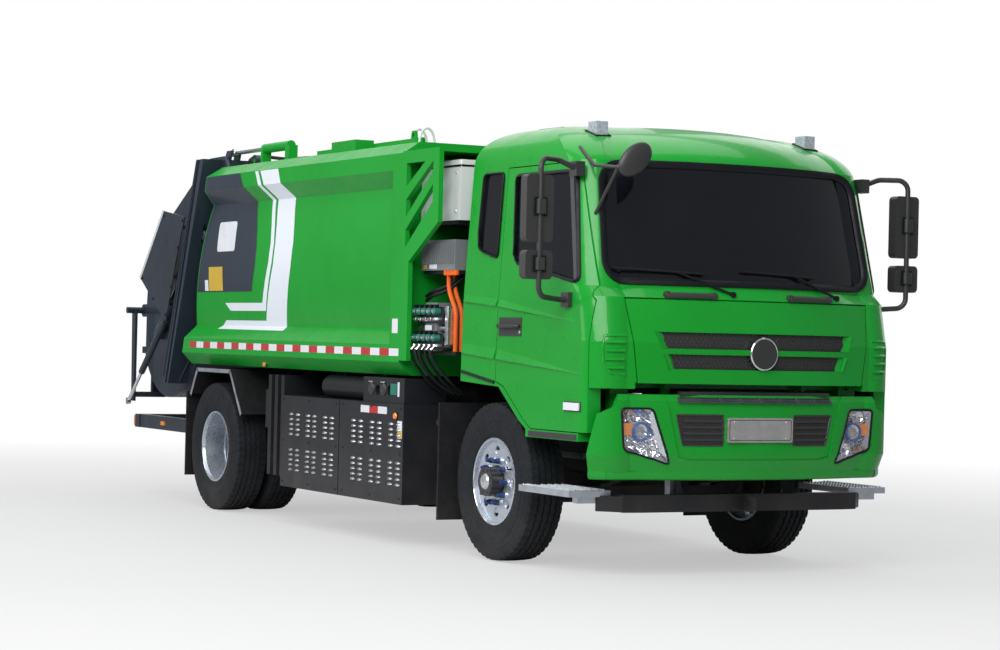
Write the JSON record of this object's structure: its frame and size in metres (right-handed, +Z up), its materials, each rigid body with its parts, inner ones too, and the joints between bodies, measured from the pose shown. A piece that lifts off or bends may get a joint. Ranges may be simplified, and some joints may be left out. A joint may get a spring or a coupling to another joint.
{
  "type": "garbage truck",
  "caption": "Electric rear-loading refuse truck with tilting cab, bulged body, lifting tailgate with packer, and bin lifter.",
  "frame": {"origin": "on the ground under the middle of the truck's length and width", "axes": "+X to the front of the truck, +Y to the driver's left, +Z up"},
  "size_m": [8.463, 2.99, 2.9679],
  "materials": {
    "green_paint": "satin",
    "dark_paint": "satin",
    "black_frame": "matt",
    "silver_wheel": "satin",
    "cast_parts": "matt",
    "spring_steel": "matt",
    "tyre": "matt",
    "dark_glass": "gloss",
    "lamp_glass": "gloss",
    "black_plastic": "satin",
    "rubber": "matt",
    "step_metal": "satin",
    "white_box": "satin",
    "grey_box": "satin",
    "orange_cable": "satin",
    "chrome_rod": "gloss",
    "seat_fabric": "matt",
    "amber_lamp": "gloss",
    "worn_steel": "worn"
  },
  "bodies": {
    "chassis": {"frame_rails": "black_frame", "front_axle": "cast_parts", "rear_axle": "cast_parts", "leaf_springs": "spring_steel", "drive_motor": "grey_box", "front_bumper": "green_paint", "headlamps": "lamp_glass", "bumper_grilles": "black_plastic", "underrun_beam": "black_frame", "entry_steps": "step_metal", "mudguards": "rubber", "battery_boxes": "black_frame", "charging_box": "black_frame", "side_equipment": "black_frame", "rear_bumper": "dark_paint", "marker_lamps": "amber_lamp", "refuse_body": "green_paint", "body_fairings": "green_paint", "equipment_rack": "grey_box", "cooling_box": "white_box", "valve_stack": "grey_box", "power_cables": "orange_cable", "roof_fittings": "dark_paint"},
    "cab": {"cab_shell": "green_paint", "cab_glass": "dark_glass", "dashboard": "black_plastic", "cab_seats": "seat_fabric", "wipers": "black_plastic", "roof_lamps": "lamp_glass", "front_mirror": "black_plastic"},
    "door_right": {"door_right": "green_paint", "door_glass_right": "dark_glass", "mirrors_right": "black_plastic"},
    "door_left": {"door_left": "green_paint", "door_glass_left": "dark_glass", "mirrors_left": "black_plastic"},
    "lid": {"front_lid": "green_paint", "lid_mesh": "black_plastic"},
    "steer_right": {"knuckle_right": "cast_parts"},
    "steer_left": {"knuckle_left": "cast_parts"},
    "wheel_front_right": {"wheel_front_right": "silver_wheel", "tyre_front_right": "tyre"},
    "wheel_front_left": {"wheel_front_left": "silver_wheel", "tyre_front_left": "tyre"},
    "wheel_rear_right": {"wheel_rear_right": "silver_wheel", "tyres_rear_right": "tyre"},
    "wheel_rear_left": {"wheel_rear_left": "silver_wheel", "tyres_rear_left": "tyre"},
    "tailgate": {"tailgate_shell": "dark_paint", "guard_plates": "dark_paint"},
    "slide": {"slide_plate": "worn_steel"},
    "blade": {"packer_blade": "worn_steel"},
    "lifter": {"bin_lifter": "dark_paint"},
    "bin_barrel": {"bin_barrels": "dark_paint"},
    "bin_rod": {"bin_rods": "chrome_rod"},
    "lift_rod": {"lift_rods": "chrome_rod"},
    "ejector": {"ejector_plate": "worn_steel"}
  },
  "joints": [
    {"name": "cab_tilt", "type": "hinge", "parent": "chassis", "child": "cab", "pos_m": [4.075, 0, 0.95], "axis": [0, 1, 0], "range_deg": [0, 45]},
    {"name": "door_right_hinge", "type": "hinge", "parent": "cab", "child": "door_right", "pos_m": [4.0125, -1.154, 1.7], "axis": [0, 0, 1], "range_deg": [0, 70]},
    {"name": "door_left_hinge", "type": "hinge", "parent": "cab", "child": "door_left", "pos_m": [4.0125, 1.154, 1.7], "axis": [0, 0, -1], "range_deg": [0, 70]},
    {"name": "lid_lift", "type": "hinge", "parent": "cab", "child": "lid", "pos_m": [4.075, 0, 1.862], "axis": [0, -1, 0], "range_deg": [0, 60]},
    {"name": "steer_right", "type": "hinge", "parent": "chassis", "child": "steer_right", "pos_m": [2.775, -0.83, 0.518], "axis": [0, 0, 1], "range_deg": [-35, 35]},
    {"name": "steer_left", "type": "hinge", "parent": "chassis", "child": "steer_left", "pos_m": [2.775, 0.83, 0.518], "axis": [0, 0, 1], "range_deg": [-35, 35]},
    {"name": "spin_front_right", "type": "hinge", "parent": "steer_right", "child": "wheel_front_right", "pos_m": [2.775, -0.972, 0.518], "axis": [0, 1, 0], "continuous": true},
    {"name": "spin_front_left", "type": "hinge", "parent": "steer_left", "child": "wheel_front_left", "pos_m": [2.775, 0.972, 0.518], "axis": [0, 1, 0], "continuous": true},
    {"name": "spin_rear_right", "type": "hinge", "parent": "chassis", "child": "wheel_rear_right", "pos_m": [-1.725, -0.9395, 0.518], "axis": [0, 1, 0], "continuous": true},
    {"name": "spin_rear_left", "type": "hinge", "parent": "chassis", "child": "wheel_rear_left", "pos_m": [-1.725, 0.9395, 0.518], "axis": [0, 1, 0], "continuous": true},
    {"name": "tailgate_lift", "type": "hinge", "parent": "chassis", "child": "tailgate", "pos_m": [-1.925, 0, 2.862], "axis": [0, 1, 0], "range_deg": [0, 85]},
    {"name": "slide_plate_slide", "type": "slide", "parent": "tailgate", "child": "slide", "axis": [-0.7793, 0, -0.6266], "range_m": [0, 0.55]},
    {"name": "blade_swing", "type": "hinge", "parent": "slide", "child": "blade", "pos_m": [-2.727, 0, 1.905], "axis": [0, 1, 0], "range_deg": [0, 75]},
    {"name": "bin_lift", "type": "hinge", "parent": "tailgate", "child": "lifter", "pos_m": [-3.837, 0, 1.62], "axis": [0, 1, 0], "range_deg": [0, 85]},
    {"name": "bin_barrel_swing", "type": "hinge", "parent": "tailgate", "child": "bin_barrel", "pos_m": [-2.955, 0, 1.54], "axis": [0, 1, 0], "range_deg": [0, 41.5]},
    {"name": "bin_rod_slide", "type": "slide", "parent": "bin_barrel", "child": "bin_rod", "axis": [-0.7682, 0, -0.6402], "range_m": [0, 0.56]},
    {"name": "lift_rod_slide", "type": "slide", "parent": "chassis", "child": "lift_rod", "axis": [1, 0, 0], "range_m": [0, 0.155]},
    {"name": "ejector_slide", "type": "slide", "parent": "chassis", "child": "ejector", "axis": [-1, 0, 0], "range_m": [0, 3.2]}
  ],
  "couplings": [
    {"joint": "steer_left", "follows": "steer_right", "ratio": 1},
    {"joint": "bin_barrel_swing", "follows": "bin_lift", "ratio": 0.467},
    {"joint": "bin_rod_slide", "follows": "bin_lift", "m_per_rad": 0.371},
    {"joint": "lift_rod_slide", "follows": "tailgate_lift", "m_per_rad": 0.101}
  ]
}
